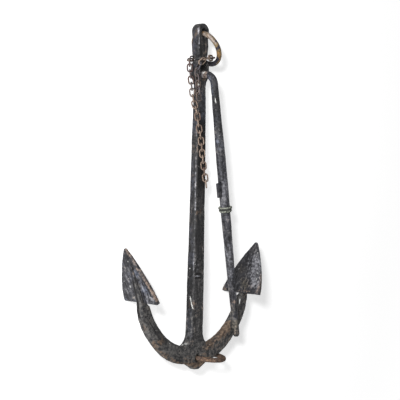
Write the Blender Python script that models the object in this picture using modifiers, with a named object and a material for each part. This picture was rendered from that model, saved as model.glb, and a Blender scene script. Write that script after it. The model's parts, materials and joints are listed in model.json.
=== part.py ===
"""Old fisherman's anchor: a forged shank, crown and arms with two palms, a folding stock stowed
alongside, a head ring, a crown ring and a short-link chain round the neck.

The anchor is drawn upright in its own frame: +Z up the shank from the crown's lowest point, +X to
the right arm, -Y to the front. An empty then lays it on its back, front face up, at rest on the
rear corners of the palms and on the head ring.
"""

import bmesh
import bpy
from math import cos, pi, radians, sin, tan
from mathutils import Matrix, Vector

# Crown and shank: height, width and thickness of each chamfered section, from the blunt point up.
CROWN_SECTIONS = ((0.000, 0.022, 0.024), (0.004, 0.032, 0.028), (0.014, 0.064, 0.031), (0.030, 0.118, 0.0315))
CROWN_SHIFT = 0.005
ROOT_SECTIONS = (
    (0.052, 0.124, 0.032), (0.076, 0.116, 0.032), (0.083, 0.090, 0.032), (0.094, 0.070, 0.032),
    (0.110, 0.0575, 0.032), (0.132, 0.0530, 0.033),
)
BAR_SECTIONS = (
    (0.160, 0.0525, 0.0335), (0.289, 0.0515, 0.0330), (0.419, 0.0485, 0.0310), (0.533, 0.0465, 0.0300),
    (0.712, 0.0435, 0.0285), (0.832, 0.0405, 0.0265),
)
BAR_FORWARD = -0.0010
EYE_SECTIONS = (
    (0.918, 0.0365, 0.025), (0.934, 0.042, 0.027), (0.948, 0.054, 0.031), (0.968, 0.060, 0.032),
    (0.988, 0.056, 0.032), (1.000, 0.044, 0.029),
)
NECK_SECTIONS = ((1.004, 0.0395, 0.0275), (1.011, 0.0405, 0.0285))
THROAT_SECTIONS = (
    (1.019, 0.0445, 0.032), (1.035, 0.0475, 0.033), (1.050, 0.050, 0.034), (1.072, 0.046, 0.0325),
)
SHANK_CHAMFER = 0.0045
NECK_CHAMFER = 0.009
HEAD_Z = 1.0945
HEAD_RADIUS = 0.0264
HEAD_THICKNESS = 0.034
HEAD_SHIFT = -0.0026
HEAD_TURNS = (-20, 0, 20, 38, 54, 68, 80)

# Arms: each section's turn from the crown round the arms' centre, with its inner and outer radius.
# They are deepest beside the crown and again at the palms, and thinner front to back at the palms.
ARM_CENTRE_Z = 0.280
ARM_SECTIONS = (
    (0, 0.2070, 0.2585), (7, 0.2078, 0.2605), (13, 0.2088, 0.2645), (19, 0.2099, 0.2662),
    (26, 0.2111, 0.2660), (33, 0.2124, 0.2650), (40, 0.2136, 0.2628), (47, 0.2146, 0.2615),
    (54, 0.2155, 0.2625), (61, 0.2162, 0.2638), (68, 0.2169, 0.2636), (74, 0.2177, 0.2625),
)
ARM_THICKNESS = (0.032, 0.025)
ARM_THICK_UNTIL = radians(52)
ARM_END = radians(74)
ARM_CHAMFER = 0.007

# Palms: a plate from its base centre to its tip, as (X, Z), with a curved outline and its tip a
# little to the rear. The half-widths are to the front and to the rear of the left (-1) and of the
# right palm (1).
PALM_BASE = Vector((0.229, 0.234))
PALM_TIP = Vector((0.306, 0.404))
PALM_TIP_BACK = 0.0027
PALM_HALF_WIDTHS = {-1: (0.066, 0.082), 1: (0.082, 0.082)}
PALM_TIP_HALF_WIDTH = 0.004
PALM_THICKNESS = (0.0135, 0.007)
PALM_HOLLOW = 0.003
PALM_EDGE = 0.0016
PALM_ROWS = 10
PALM_COLUMNS = 8
PALM_TAPER = 1.5
PALM_SEAT_REACH = 0.060
# Rib on the palm's back: place along the palm, depth behind the plate and thickness. It starts
# inside the plate, which its seat then cuts away.
RIB_SECTIONS = (
    (0.05, 0.0165, 0.0245), (0.28, 0.0120, 0.021), (0.52, 0.0065, 0.017), (0.76, 0.0012, 0.012),
)
RIB_START = 0.004

# Holes through the forging, all along Y.
RING_HOLE = Vector((0, 0, 1.092))
RING_HOLE_RADIUS = 0.0129
CROWN_HOLE = Vector((0.005, 0, 0.0365))
CROWN_HOLE_RADIUS = 0.0112
HOLE_MOUTH = 0.0035
HOLE_STEPS = 24
CUTTER_SPARE = 0.01
EYE_BOTTOM = 0.9427
EYE_TOP = 0.998
EYE_RADIUS = 0.0155

# Rings: centre-line radius and rod radius, with the way each hangs from its hole. The head ring
# hangs this far out to the front of straight down, and the crown ring dips below level.
HEAD_RING = (0.0540, 0.0085)
HEAD_RING_HANG = radians(30)
HEAD_RING_YAW = radians(4)
HEAD_RING_DROP = 0.0020
CROWN_RING = (0.057, 0.0082)
CROWN_RING_DIP = radians(3.4)
CROWN_RING_YAW = radians(4.4)
CROWN_RING_DROP = 0.0009
RING_STEPS = (36, 10)

# Stock: a bent leg through the eye and a long tapered leg down to the right arm. Its upset head
# behind the eye, as (Y, radius), keeps it from drawing out.
STOCK_PIVOT = Vector((-0.0015, 0, 0.9553))
STOCK_LEG_RADIUS = 0.0118
STOCK_HEAD_RADII = (
    (0.0285, 0.0100), (0.0265, 0.0155), (0.0235, 0.0172), (0.0200, 0.0165), (0.0175, 0.0118),
)
STOCK_REACH = 0.0605
STOCK_BEND_RADIUS = 0.030
STOCK_BEND_STEPS = 8
STOCK_FOOT = Vector((0.179, -0.0276, 0.093))
STOCK_RADII = (
    (0.0, 0.0118), (0.14, 0.0133), (0.29, 0.0158), (0.47, 0.0160), (0.65, 0.0145), (0.85, 0.0122),
    (0.992, 0.0112), (1.0, 0.0085),
)
COLLAR_PLACE = 0.483
COLLAR_BORE = 0.0167
COLLAR_OUTER = 0.0232
COLLAR_HEIGHT = 0.0150
COLLAR_ROUNDING = 0.0028
COLLAR_TILT = radians(2.0)
KEY_PLACE = 0.405
KEY_HEIGHT = 0.048
KEY_THICKNESS = 0.0085
KEY_OUT = 0.0310
KEY_IN = 0.010
KEY_EDGE = 0.0012

# Chain: short links of round wire. The route runs from the tail's free end up beside the eye, round
# behind the neck, across its front and down over the eye.
WIRE_RADIUS = 0.0025
LINK_OUTER = Vector((0.0206, 0.031))
LINK_PITCH = 0.0200
CHAIN_ROUTE = (
    (0.0172, -0.0238, 0.5940), (0.0105, -0.0238, 0.6250), (-0.0005, -0.0240, 0.6690),
    (-0.0074, -0.0239, 0.7100), (-0.0146, -0.0235, 0.7510), (-0.0208, -0.0233, 0.7760),
    (-0.0256, -0.0208, 0.7970), (-0.0266, -0.0190, 0.8200), (-0.0292, -0.0140, 0.8420),
    (-0.0328, -0.0075, 0.8620), (-0.0344, -0.0022, 0.8850), (-0.0360, 0.0010, 0.9100),
    (-0.0380, 0.0040, 0.9380), (-0.0400, 0.0070, 0.9650), (-0.0380, 0.0110, 0.9860),
    (-0.0290, 0.0200, 1.0010), (-0.0140, 0.0310, 1.0090), (0.0040, 0.0370, 1.0120),
    (0.0220, 0.0340, 1.0130), (0.0360, 0.0230, 1.0140), (0.0420, 0.0040, 1.0140),
    (0.0380, -0.0160, 1.0130), (0.0240, -0.0310, 1.0120), (0.0060, -0.0365, 1.0100),
    (-0.0120, -0.0360, 1.0050), (-0.0270, -0.0310, 0.9960), (-0.0360, -0.0260, 0.9800),
    (-0.0380, -0.0220, 0.9620), (-0.0320, -0.0200, 0.9380), (-0.0260, -0.0180, 0.9080),
    (-0.0224, -0.0196, 0.8690),
)
ROUTE_STEPS = 24
TAIL_LINKS = 10

# The gap that parts pieces held together, and the finest distance between two points of a mesh.
GAP = 0.0003
WELD = 1e-6
SHARP_ANGLE = radians(35)
# Rest: the greatest tilt that is tried, and how many times the tried range is halved.
MOST_TILT = radians(5)
TILT_HALVINGS = 40

# Materials: name, colour, roughness and metallic.

RAW_IRON = ("pitted_black_iron", (0.060, 0.062, 0.070), 0.62, 0.55)
PALM_IRON = ("palm_plate_iron", (0.085, 0.085, 0.095), 0.60, 0.55)
RING_IRON = ("worn_ring_iron", (0.36, 0.28, 0.18), 0.60, 0.55)
CROWN_RING_IRON = ("rusted_ring_iron", (0.18, 0.12, 0.09), 0.80, 0.35)
STOCK_IRON = ("stock_bar_iron", (0.075, 0.080, 0.095), 0.60, 0.55)
COLLAR_IRON = ("limed_collar_iron", (0.30, 0.31, 0.27), 0.80, 0.25)
CHAIN_IRON = ("rusted_chain_iron", (0.24, 0.18, 0.15), 0.80, 0.35)


def clear_scene():
    for obj in list(bpy.data.objects):
        bpy.data.objects.remove(obj, do_unlink=True)


def new_collection(name):
    made = bpy.data.collections.new(name)
    bpy.context.scene.collection.children.link(made)
    return made


def new_material(name, colour, roughness, metallic):
    made = bpy.data.materials.new(name)
    made.use_nodes = True
    shader = made.node_tree.nodes["Principled BSDF"]
    shader.inputs["Base Color"].default_value = (*colour, 1.0)
    shader.inputs["Roughness"].default_value = roughness
    shader.inputs["Metallic"].default_value = metallic
    return made


def new_object(name, mesh, parent, collection, material=None, location=(0, 0, 0)):
    """An object under its parent empty. Its location is its joint's place, where it has one."""
    obj = bpy.data.objects.new(name, mesh)
    obj.location = location
    obj.parent = parent
    collection.objects.link(obj)
    if material:
        mesh.materials.clear()
        mesh.materials.append(material)
        mesh.shade_smooth()
        mesh.set_sharp_from_angle(angle=SHARP_ANGLE)
    return obj


def new_cutter(name, mesh, parent, collection):
    cutter = new_object(name, mesh, parent, collection)
    cutter.display_type = "WIRE"
    cutter.hide_render = True
    return cutter


def boolean(obj, other, operation):
    modifier = obj.modifiers.new(f"{operation.lower()} {other.name}", "BOOLEAN")
    modifier.operation = operation
    modifier.object = other


def mesh_of(bm, name):
    mesh = bpy.data.meshes.new(name)
    bm.normal_update()
    bmesh.ops.recalc_face_normals(bm, faces=bm.faces[:])
    bm.to_mesh(mesh)
    bm.free()
    return mesh


def blend(start, end, share):
    return start + (end - start) * share


def chamfered_outline(width, depth, chamfer):
    """The eight corners of a rectangle with cut corners, in order."""
    x, y = width / 2, depth / 2
    cut = min(chamfer, 0.8 * x, 0.8 * y)
    return (
        (x, cut - y), (x, y - cut), (x - cut, y), (cut - x, y),
        (-x, y - cut), (-x, cut - y), (cut - x, -y), (x - cut, -y),
    )


def lofted_bar(sections, name):
    """A forged bar: a skin over cross-sections with the same number of corners, closed at both ends."""
    bm = bmesh.new()
    rings = [[bm.verts.new(point) for point in section] for section in sections]
    for lower, upper in zip(rings, rings[1:]):
        for i in range(len(lower)):
            j = (i + 1) % len(lower)
            bm.faces.new((lower[i], lower[j], upper[j], upper[i]))
    bm.faces.new(rings[0])
    bm.faces.new(rings[-1])
    return mesh_of(bm, name)


def turned_mesh(profile, steps, name):
    """A profile of (radius, along Y) turned once round the Y axis."""
    bm = bmesh.new()
    points = [bm.verts.new((radius, along, 0)) for radius, along in profile]
    edges = [bm.edges.new(pair) for pair in zip(points, points[1:])]
    bmesh.ops.spin(
        bm, geom=points + edges, cent=(0, 0, 0), axis=(0, 1, 0), angle=2 * pi, steps=steps, use_merge=True
    )
    bmesh.ops.remove_doubles(bm, verts=bm.verts[:], dist=WELD)
    return mesh_of(bm, name)


def shank_sections():
    """Sections up the crown, the shank, the neck, the throat and the round head boss."""
    sections = []
    groups = (
        (CROWN_SECTIONS, SHANK_CHAMFER, CROWN_SHIFT, 0), (ROOT_SECTIONS, SHANK_CHAMFER, 0, 0),
        (BAR_SECTIONS, SHANK_CHAMFER, 0, BAR_FORWARD), (EYE_SECTIONS, SHANK_CHAMFER, 0, 0),
        (NECK_SECTIONS, NECK_CHAMFER, 0, 0), (THROAT_SECTIONS, SHANK_CHAMFER, HEAD_SHIFT, 0),
    )
    for group, chamfer, across, forward in groups:
        for height, width, thickness in group:
            outline = chamfered_outline(width, thickness, chamfer)
            sections.append([(x + across, y + forward, height) for x, y in outline])
    for turn in HEAD_TURNS:
        height = HEAD_Z + HEAD_RADIUS * sin(radians(turn))
        outline = chamfered_outline(2 * HEAD_RADIUS * cos(radians(turn)), HEAD_THICKNESS, SHANK_CHAMFER)
        sections.append([(x + HEAD_SHIFT, y, height) for x, y in outline])
    return sections


def arm_section(centre, outward, depth, thickness):
    """A section across an arm: its depth along the outward direction, its thickness along Y."""
    outline = chamfered_outline(depth, thickness, ARM_CHAMFER)
    return [
        (centre.x + across * outward.x, through, centre.y + across * outward.y) for across, through in outline
    ]


def palm_directions():
    along = (PALM_TIP - PALM_BASE).normalized()
    return along, Vector((along.y, -along.x))


def right_arm_sections():
    """Sections from the middle of the crown along the right arm, then up the palm's back as a rib."""
    sections = []
    for degrees, inner, outer in ARM_SECTIONS:
        turn = radians(degrees)
        thin = max(0.0, turn - ARM_THICK_UNTIL) / (ARM_END - ARM_THICK_UNTIL)
        outward = Vector((sin(turn), -cos(turn)))
        centre = Vector((0, ARM_CENTRE_Z)) + outward * (inner + outer) / 2
        sections.append(arm_section(centre, outward, outer - inner, blend(*ARM_THICKNESS, thin)))
    outward = palm_directions()[1]
    for share, depth, thickness in RIB_SECTIONS:
        foot = PALM_BASE + (PALM_TIP - PALM_BASE) * share + outward * (PALM_THICKNESS[0] / 2)
        centre = foot + outward * (depth - RIB_START) / 2
        sections.append(arm_section(centre, outward, depth + RIB_START, thickness))
    return sections


def mirrored(section):
    return [(-x, y, z) for x, y, z in section]


def both_arms_mesh():
    right = right_arm_sections()
    left = [mirrored(section) for section in reversed(right[1:])]
    return lofted_bar(left + right, "arms")


def palm_point(across, share, front, side):
    """A point of a palm: across from -1 to 1, share up from its base, on its front or its back."""
    outward = palm_directions()[1]
    base = PALM_HALF_WIDTHS[side][across > 0]
    half_width = blend(base, PALM_TIP_HALF_WIDTH, share**PALM_TAPER)
    offset = PALM_THICKNESS[0] / 2
    if front:
        hollow = PALM_HOLLOW * (1 - across**2) * (1 - share)
        offset -= blend(*PALM_THICKNESS, share) - hollow
    place = PALM_BASE + (PALM_TIP - PALM_BASE) * share + outward * offset
    return Vector((side * place.x, across * half_width + PALM_TIP_BACK * share, place.y))


def palm_mesh(side, name):
    """A plate with a flat back and a slightly hollow front, thinner at its tip."""
    bm = bmesh.new()
    bmesh.ops.create_grid(bm, x_segments=PALM_COLUMNS, y_segments=PALM_ROWS, size=1)
    made = bmesh.ops.extrude_face_region(bm, geom=bm.faces[:])["geom"]
    front = {item for item in made if isinstance(item, bmesh.types.BMVert)}
    for vert in bm.verts:
        vert.co = palm_point(vert.co.x, (vert.co.y + 1) / 2, vert in front, side)
    return mesh_of(bm, name)


def palm_seat_mesh(side):
    """The space a palm takes from the arm, with the gap that parts them."""
    along, outward = palm_directions()
    back = PALM_THICKNESS[0] / 2 + GAP
    bm = bmesh.new()
    bmesh.ops.create_cube(bm, size=1)
    for vert in bm.verts:
        share = blend(-GAP, 0.2, vert.co.z + 0.5)
        offset = blend(-PALM_SEAT_REACH, back, vert.co.x + 0.5)
        place = PALM_BASE + along * share + outward * offset
        vert.co = Vector((side * place.x, vert.co.y * 0.2, place.y))
    return mesh_of(bm, "palm_seat")


def hole_mesh(radius, thickness, place):
    """A round hole through a boss, with a flared mouth at each face."""
    face = thickness / 2
    outer = radius + HOLE_MOUTH
    far = face + CUTTER_SPARE
    profile = [(0, -far), (outer, -far), (outer, -face), (radius, HOLE_MOUTH - face)]
    profile += [(radius, face - HOLE_MOUTH), (outer, face), (outer, far), (0, far)]
    mesh = turned_mesh(profile, HOLE_STEPS, "hole")
    mesh.transform(Matrix.Translation(place))
    return mesh


def eye_mesh():
    """The long hole of the stock eye, round at both ends."""
    bm = bmesh.new()
    bmesh.ops.create_cone(
        bm, cap_ends=True, segments=HOLE_STEPS, radius1=EYE_RADIUS, radius2=EYE_RADIUS,
        depth=HEAD_THICKNESS + 2 * CUTTER_SPARE,
        matrix=Matrix.Rotation(pi / 2, 4, "X") @ Matrix.Rotation(pi / HOLE_STEPS, 4, "Z"),
    )
    for vert in bm.verts:
        vert.co.z += EYE_BOTTOM + EYE_RADIUS if vert.co.z < 0 else EYE_TOP - EYE_RADIUS
    return mesh_of(bm, "eye")


def build_forging(frame, parts, cutters):
    """Shank, head, crown and arms as one forging, with its three holes and the seats of the palms."""
    iron = new_material(*RAW_IRON)
    shank = new_object("shank_and_arms", lofted_bar(shank_sections(), "shank"), frame, parts, iron)
    boolean(shank, new_cutter("arms", both_arms_mesh(), frame, cutters), "UNION")
    holes = {
        "ring_hole": hole_mesh(RING_HOLE_RADIUS, HEAD_THICKNESS, RING_HOLE),
        "crown_hole": hole_mesh(CROWN_HOLE_RADIUS, ARM_THICKNESS[0], CROWN_HOLE),
        "stock_eye": eye_mesh(),
        "left_palm_seat": palm_seat_mesh(-1),
        "right_palm_seat": palm_seat_mesh(1),
    }
    for name, mesh in holes.items():
        boolean(shank, new_cutter(name, mesh, frame, cutters), "DIFFERENCE")


def build_palms(frame, parts):
    iron = new_material(*PALM_IRON)
    for name, side in (("palm_left", -1), ("palm_right", 1)):
        palm = new_object(name, palm_mesh(side, name), frame, parts, iron)
        bevel = palm.modifiers.new("worn edges", "BEVEL")
        bevel.width = PALM_EDGE
        bevel.segments = 1
        bevel.limit_method = "ANGLE"
        bevel.angle_limit = radians(40)


def ring_mesh(size, direction, yaw, drop):
    """A ring through a hole at the origin, along Y, that hangs in the given direction."""
    radius, rod = size
    around, across = RING_STEPS
    bpy.ops.mesh.primitive_torus_add(
        major_radius=radius, minor_radius=rod, major_segments=around, minor_segments=across
    )
    made = bpy.context.active_object
    mesh = made.data
    bpy.data.objects.remove(made)
    hang = Vector((cos(direction), 0, sin(direction)))
    through = Matrix.Rotation(yaw, 3, hang) @ Vector((0, 1, 0))
    turn = Matrix((hang, through, hang.cross(through))).transposed()
    mesh.transform(Matrix.Translation(hang * (radius + drop)) @ turn.to_4x4())
    return mesh


def build_rings(frame, parts):
    """The head ring, let down to the front, and the crown ring, out to the right. Each turns in its hole."""
    head = ring_mesh(HEAD_RING, HEAD_RING_HANG - pi / 2, HEAD_RING_YAW, HEAD_RING_DROP)
    new_object("head_ring", head, frame, parts, new_material(*RING_IRON), RING_HOLE)
    crown = ring_mesh(CROWN_RING, -CROWN_RING_DIP, CROWN_RING_YAW, CROWN_RING_DROP)
    new_object("crown_ring", crown, frame, parts, new_material(*CROWN_RING_IRON), CROWN_HOLE)


def stock_path():
    """Points and rod radii along the stock, from the head behind the eye to the foot on the arm."""
    corner = Vector((0, -STOCK_REACH, 0))
    foot = STOCK_FOOT - STOCK_PIVOT
    leg = (foot - corner).normalized()
    turn = Vector((0, -1, 0)).angle(leg)
    run = STOCK_BEND_RADIUS * tan(turn / 2)
    first = corner + Vector((0, run, 0))
    last = corner + leg * run
    axis = Vector((0, -1, 0)).cross(leg).normalized()
    centre = first + axis.cross(Vector((0, -1, 0))) * STOCK_BEND_RADIUS
    path = [(Vector((0, behind, 0)), radius) for behind, radius in STOCK_HEAD_RADII]
    path.append((first, STOCK_LEG_RADIUS))
    for step in range(1, STOCK_BEND_STEPS):
        share = step / STOCK_BEND_STEPS
        radius = blend(STOCK_LEG_RADIUS, STOCK_RADII[0][1], share)
        path.append((centre + Matrix.Rotation(turn * share, 3, axis) @ (first - centre), radius))
    path += [(last + (foot - last) * share, radius) for share, radius in STOCK_RADII]
    return path, last, foot


def stock_mesh(path):
    """The round bar: a tube of changing radius along its path, made one closed mesh."""
    curve = bpy.data.curves.new("stock_path", "CURVE")
    curve.dimensions = "3D"
    curve.bevel_depth = 1.0
    curve.bevel_resolution = 4
    curve.use_fill_caps = True
    spline = curve.splines.new("POLY")
    spline.points.add(len(path) - 1)
    for point, (place, radius) in zip(spline.points, path):
        point.co = (*place, 1)
        point.radius = radius
    tube = bpy.data.objects.new("stock_path", curve)
    bpy.context.scene.collection.objects.link(tube)
    mesh = bpy.data.meshes.new_from_object(tube.evaluated_get(bpy.context.evaluated_depsgraph_get()))
    bpy.data.objects.remove(tube)
    bm = bmesh.new()
    bm.from_mesh(mesh)
    bmesh.ops.remove_doubles(bm, verts=bm.verts[:], dist=WELD)
    return mesh_of(bm, "stock")


def key_mesh(allowance, name):
    """The flat key across the stock. The slot for it is the same shape, larger by an allowance."""
    bm = bmesh.new()
    bmesh.ops.create_cube(bm, size=1)
    for vert in bm.verts:
        vert.co.x = KEY_IN + allowance if vert.co.x > 0 else -KEY_OUT - allowance
        vert.co.y *= KEY_THICKNESS + 2 * allowance
        vert.co.z *= KEY_HEIGHT + 2 * allowance
    return mesh_of(bm, name)


def collar_mesh():
    """A thick ring with rounded outer edges, along Y."""
    half = COLLAR_HEIGHT / 2
    inner = half - COLLAR_ROUNDING
    profile = [(COLLAR_BORE, -half), (COLLAR_BORE, half), (COLLAR_OUTER - COLLAR_ROUNDING, half)]
    profile += [(COLLAR_OUTER, inner), (COLLAR_OUTER, -inner), (COLLAR_OUTER - COLLAR_ROUNDING, -half)]
    profile.append(profile[0])
    return turned_mesh(profile, 28, "stock_collar")


def build_stock(frame, parts, cutters):
    """The folding stock with its collar and key. They swing about the leg that lies in the eye."""
    path, top, foot = stock_path()
    leg = foot - top
    stock = new_object("stock", stock_mesh(path), frame, parts, new_material(*STOCK_IRON), STOCK_PIVOT)
    up = -leg.normalized()
    across = up.cross(Vector((0, -1, 0))).normalized()
    upright = Matrix((across, up.cross(across), up)).transposed().to_4x4()

    key = key_mesh(0, "stock_key")
    slot = key_mesh(GAP, "key_slot")
    for mesh in (key, slot):
        mesh.transform(Matrix.Translation(top + leg * KEY_PLACE) @ upright)
    boolean(stock, new_cutter("key_slot", slot, stock, cutters), "DIFFERENCE")
    key_object = new_object("stock_key", key, stock, parts, stock.data.materials[0])
    bevel = key_object.modifiers.new("worn edges", "BEVEL")
    bevel.width = KEY_EDGE
    bevel.segments = 1

    collar = collar_mesh()
    lean = Matrix.Rotation(COLLAR_TILT, 4, "Y") @ Matrix.Rotation(pi / 2, 4, "X")
    collar.transform(Matrix.Translation(top + leg * COLLAR_PLACE) @ upright @ lean)
    new_object("stock_collar", collar, stock, parts, new_material(*COLLAR_IRON))


def smooth_route(points):
    """Points of a Catmull-Rom curve through the route's own points."""
    given = [Vector(point) for point in points]
    given = [2 * given[0] - given[1]] + given + [2 * given[-1] - given[-2]]
    route = []
    for before, start, end, after in zip(given, given[1:], given[2:], given[3:]):
        slope = end - before
        bend = 2 * before - 5 * start + 4 * end - after
        twist = 3 * start - before - 3 * end + after
        for step in range(ROUTE_STEPS):
            t = step / ROUTE_STEPS
            route.append(start + (slope * t + bend * t**2 + twist * t**3) / 2)
    return route + [given[-2]]


def chain_joints(route):
    """Places along the route that are each one link pitch from the last."""
    joints = [route[0]]
    for point in route[1:]:
        while (point - joints[-1]).length >= LINK_PITCH:
            joints.append(joints[-1] + (point - joints[-1]).normalized() * LINK_PITCH)
    return joints


def link_mesh():
    """One link of round wire: a closed oval of two straights and two half rounds, long along Z."""
    width, length = LINK_OUTER
    bend = width / 2 - WIRE_RADIUS
    straight = length / 2 - WIRE_RADIUS - bend
    curve = bpy.data.curves.new("link_path", "CURVE")
    curve.dimensions = "3D"
    curve.bevel_depth = WIRE_RADIUS
    curve.bevel_resolution = 1
    spline = curve.splines.new("POLY")
    turns = [pi * step / 6 for step in range(7)]
    places = [(bend * cos(turn), straight + bend * sin(turn)) for turn in turns]
    places += [(-x, -z) for x, z in places]
    spline.points.add(len(places) - 1)
    for point, (x, z) in zip(spline.points, places):
        point.co = (x, 0, z, 1)
    spline.use_cyclic_u = True
    tube = bpy.data.objects.new("link_path", curve)
    bpy.context.scene.collection.objects.link(tube)
    mesh = bpy.data.meshes.new_from_object(tube.evaluated_get(bpy.context.evaluated_depsgraph_get()))
    bpy.data.objects.remove(tube)
    return mesh


def build_chain(frame, parts):
    """Links along the route, each a quarter turn from the last. The tail's links share a moving empty."""
    iron = new_material(*CHAIN_IRON)
    mesh = link_mesh()
    joints = chain_joints(smooth_route(CHAIN_ROUTE))
    swing = joints[TAIL_LINKS]
    tail = bpy.data.objects.new("chain_tail", None)
    tail.location = swing
    tail.parent = frame
    parts.objects.link(tail)
    side = Vector((-1, 1, 0)).normalized()
    for number, (start, end) in enumerate(zip(joints, joints[1:])):
        along = (end - start).normalized()
        side = (side - along * side.dot(along)).normalized()
        flat = side if number % 2 else along.cross(side)
        turn = Matrix((flat, along.cross(flat), along)).transposed().to_4x4()
        link = new_object(f"chain_link_{number + 1:02d}", mesh, frame, parts, iron)
        place = (start + end) / 2
        if number < TAIL_LINKS:
            link.parent = tail
            place = place - swing
        link.matrix_local = Matrix.Translation(place) @ turn


def lay_down(frame, parts):
    """Tips the anchor on its back until the palms and the head ring carry it, and centres it."""
    graph = bpy.context.evaluated_depsgraph_get()

    def corners(names):
        found = []
        for name in names:
            obj = parts.objects[name].evaluated_get(graph)
            found += [obj.matrix_world @ vert.co for vert in obj.to_mesh().vertices]
        return found

    bpy.context.view_layer.update()
    palms = corners(("palm_left", "palm_right"))
    ring = corners(("head_ring",))
    low, high = 0.0, MOST_TILT
    for _ in range(TILT_HALVINGS):
        tilt = (low + high) / 2
        sunk_palms = max(point.y * cos(tilt) + point.z * sin(tilt) for point in palms)
        sunk_ring = max(point.y * cos(tilt) + point.z * sin(tilt) for point in ring)
        low, high = (tilt, high) if sunk_ring < sunk_palms else (low, tilt)
    frame.rotation_euler = (-pi / 2 - tilt, 0, 0)
    bpy.context.view_layer.update()
    everything = corners([obj.name for obj in parts.objects if obj.type == "MESH"])
    lowest = [min(point[axis] for point in everything) for axis in range(3)]
    highest = [max(point[axis] for point in everything) for axis in range(3)]
    centre = [(lowest[axis] + highest[axis]) / 2 for axis in range(2)]
    frame.location = (-centre[0], -centre[1], -lowest[2])


def main():
    clear_scene()
    parts = new_collection("barnacled_anchor")
    cutters = new_collection("cutters")
    frame = bpy.data.objects.new("anchor_frame", None)
    parts.objects.link(frame)
    build_forging(frame, parts, cutters)
    build_palms(frame, parts)
    build_rings(frame, parts)
    build_stock(frame, parts, cutters)
    build_chain(frame, parts)
    lay_down(frame, parts)


main()
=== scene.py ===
"""Looks of the old barnacled anchor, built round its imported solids.

Each forged piece is a copy of its solid, remeshed fine and then worn as old wrought iron wears:
hammered hollows, lost mill scale, pits, and edges rubbed bright. Rings and chain links are bent
from round bar at the places that their solids give. Small limy scars are what is left of barnacles.

Lengths are in millimetres, and places in the anchor's own axes, wherever nothing else is said.
"""

import json
import logging
import math
from collections.abc import Sequence
from dataclasses import dataclass, replace
from enum import Enum

import bmesh
import bpy
import numpy as np
from mathutils import Matrix, Vector, noise
from mathutils.bvhtree import BVHTree


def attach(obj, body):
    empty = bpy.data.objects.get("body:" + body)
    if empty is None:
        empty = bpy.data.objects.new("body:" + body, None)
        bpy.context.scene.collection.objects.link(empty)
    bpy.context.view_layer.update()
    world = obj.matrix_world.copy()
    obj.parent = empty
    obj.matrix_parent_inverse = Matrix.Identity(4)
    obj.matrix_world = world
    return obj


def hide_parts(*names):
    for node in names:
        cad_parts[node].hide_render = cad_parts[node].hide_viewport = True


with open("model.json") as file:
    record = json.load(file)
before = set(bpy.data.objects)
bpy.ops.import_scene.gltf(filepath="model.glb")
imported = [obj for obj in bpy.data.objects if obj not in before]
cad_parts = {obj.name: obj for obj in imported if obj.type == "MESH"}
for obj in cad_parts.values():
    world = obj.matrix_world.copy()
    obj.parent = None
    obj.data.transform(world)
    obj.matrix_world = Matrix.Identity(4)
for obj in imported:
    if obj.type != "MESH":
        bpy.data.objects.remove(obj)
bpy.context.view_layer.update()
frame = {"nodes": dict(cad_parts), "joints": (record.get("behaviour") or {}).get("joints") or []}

LOG = logging.getLogger("anchor")
MM = 0.001
RING_HOLE_HEIGHT = 1092
EYE_HEIGHT = 955
ARM_CENTRE_HEIGHT = 280
ARM_RADIUS = 262
CROWN_HOLE = (5, 0, 36.5)
WHITE = (1.0, 1.0, 1.0, 1.0)
FIBRE = "fibre"

Array = np.ndarray
Draft = bmesh.types.BMesh
Mesh = bpy.types.Mesh
Parts = bpy.types.bpy_prop_collection
Piece = bpy.types.Object
Socket = bpy.types.NodeSocket
Tree = bpy.types.NodeTree
Colour = tuple[float, float, float, float]
Point = tuple[float, float, float]
Span = tuple[float, float]


def colour(code: str) -> Colour:
    """Turns an sRGB hex value into a linear colour.

    Args:
        code: Six hex digits after a #.

    Returns:
        Linear red, green and blue, with alpha 1.
    """
    parts = [int(code[i : i + 2], 16) / 255 for i in (1, 3, 5)]
    linear = [c / 12.92 if c <= 0.04045 else ((c + 0.055) / 1.055) ** 2.4 for c in parts]
    return (linear[0], linear[1], linear[2], 1.0)


def ease(values: Array, low: float, high: float) -> Array:
    """Eases values from 0 at low to 1 at high."""
    t = np.clip((values - low) / (high - low), 0, 1)
    return t * t * (3 - 2 * t)


def within(values: Array, span: Span, soft: float) -> Array:
    """1 for values inside a span, eased to 0 over a soft width outside it."""
    low, high = span
    return ease(values, low - soft, low) * ease(-values, -high - soft, -high)


def grain(points: Array, size: float, octaves: int = 3, seed: int = 0) -> Array:
    """Fractal noise, about -1 to 1.

    Args:
        points: Places, one a row.
        size: The size of its largest patches.
        octaves: How many finer layers it adds.
        seed: Which of many such patterns it is.

    Returns:
        One value a point.
    """
    shift = Vector((17.3, 5.1, 9.7)) * seed
    return np.array([noise.fractal(Vector(p) / size + shift, 1.0, 2.0, octaves) for p in points])


def cells(points: Array, size: float, seed: int = 0) -> Array:
    """Distance to the nearest of scattered centres, in cell sizes, one value a point."""
    shift = Vector((3.7, 11.9, 6.1)) * seed
    return np.array([noise.voronoi(Vector(p) / size + shift)[0][0] for p in points])


def round_arms(points: Array) -> tuple[Array, Array]:
    """Radius about the arms' common centre, and degrees from straight down to the right."""
    down = ARM_CENTRE_HEIGHT - points[:, 2]
    return np.hypot(points[:, 0], down), np.degrees(np.arctan2(points[:, 0], down))


def read(parts: Parts, name: str, width: int = 3, kind: type = np.float32) -> Array:
    """Reads one property of all of a mesh's parts, a row for each part."""
    flat = np.empty(len(parts) * width, kind)
    parts.foreach_get(name, flat)
    return flat.reshape(-1, width)


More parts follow.
